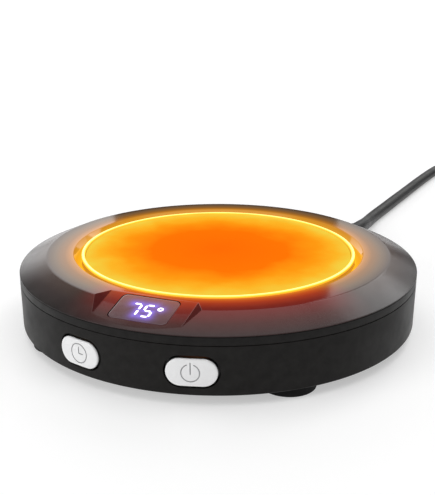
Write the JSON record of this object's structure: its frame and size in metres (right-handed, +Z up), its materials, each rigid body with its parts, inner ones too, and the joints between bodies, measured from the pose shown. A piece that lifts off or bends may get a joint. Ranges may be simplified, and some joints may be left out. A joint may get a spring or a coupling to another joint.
{
  "type": "electric mug warmer",
  "caption": "Low round mug warmer with a heated plate inside a light ring, a sloping digit display, push buttons on the side, rubber feet and a coiled mains lead with its plug.",
  "frame": {"origin": "on the table, under the centre of the round housing", "axes": "+Z up; the display and the buttons face -Y, and the lead leaves at +Y, turned a little towards +X"},
  "size_m": [0.206, 0.3717, 0.0241],
  "materials": {
    "cover_black": "smooth glossy moulded plastic",
    "base_black": "satin moulded plastic",
    "plate_orange": "satin coated plate that glows orange",
    "light_amber": "frosted light guide, lit",
    "gasket_red": "silicone rubber",
    "board_green": "circuit board with solder mask",
    "led_yellow": "encapsulated LED",
    "element_amber": "polyimide foil heater",
    "pad_white": "ceramic fibre felt",
    "pressed_steel": "zinc-plated pressed steel",
    "screw_steel": "zinc-plated",
    "screw_dark": "black oxide",
    "sensor_black": "epoxy bead",
    "lens_smoke": "clear smoked window",
    "digit_white": "LED digit block",
    "button_white": "glossy moulded plastic",
    "plunger_black": "moulded plastic",
    "switch_grey": "moulded plastic",
    "capacitor_yellow": "moulded case",
    "capacitor_blue": "shrink sleeve",
    "chip_black": "epoxy package",
    "fuse_ceramic": "glazed body",
    "socket_ivory": "moulded nylon",
    "wire_white": "silicone sleeve",
    "wire_black": "PVC sleeve",
    "wire_blue": "PVC sleeve",
    "ribbon_grey": "flat PVC ribbon",
    "foot_rubber": "moulded rubber",
    "clamp_black": "moulded nylon",
    "cord_grey": "matt round sheath",
    "relief_rubber": "matt moulded sleeve",
    "plug_black": "moulded-on plug",
    "blade_brass": "nickel-plated brass"
  },
  "bodies": {
    "housing": {"top_cover": "cover_black", "base_shell": "base_black", "heating_plate": "plate_orange", "light_ring": "light_amber", "plate_gasket": "gasket_red", "glow_board": "board_green", "glow_leds": "led_yellow", "heater_element": "element_amber", "insulation_pad": "pad_white", "heater_clamp": "pressed_steel", "clamp_screws": "screw_steel", "plate_screws": "screw_steel", "thermistor": "sensor_black", "thermal_fuse": "pressed_steel", "fuse_strap": "pressed_steel", "display_lens": "lens_smoke", "display_module": "digit_white", "display_board": "board_green", "display_screws": "screw_steel", "power_switch": "switch_grey", "timer_switch": "switch_grey", "switch_boards": "board_green", "main_board": "board_green", "board_screws": "screw_steel", "film_capacitor": "capacitor_yellow", "smoothing_capacitor": "capacitor_blue", "triac": "chip_black", "main_fuse": "fuse_ceramic", "rectifier": "chip_black", "controller_chip": "chip_black", "buzzer": "chip_black", "board_sockets": "socket_ivory", "heater_wires": "wire_white", "sensor_wires": "wire_black", "mains_wires": "wire_blue", "display_ribbon": "ribbon_grey", "switch_wires": "wire_black", "housing_screws": "screw_dark", "rubber_feet": "foot_rubber", "cord_clamp": "clamp_black", "cord_clamp_screws": "screw_steel", "cord_inner": "cord_grey", "strain_relief": "relief_rubber", "cord_lead": "cord_grey", "cord_coil": "cord_grey", "cord_tail": "cord_grey", "plug_body": "plug_black", "plug_blades": "blade_brass"},
    "power_key": {"power_button": "button_white", "power_plunger": "plunger_black"},
    "timer_key": {"timer_button": "button_white", "timer_plunger": "plunger_black"}
  },
  "joints": [
    {"name": "power_button_press", "type": "slide", "parent": "housing", "child": "power_key", "axis": [-0.2605, 0.9655, 0], "range_m": [0, 0.0006], "stiffness_N_per_m": 2000, "springref_m": -0.0002},
    {"name": "timer_button_press", "type": "slide", "parent": "housing", "child": "timer_key", "axis": [0.2605, 0.9655, 0], "range_m": [0, 0.0006], "stiffness_N_per_m": 2000, "springref_m": -0.0002}
  ]
}
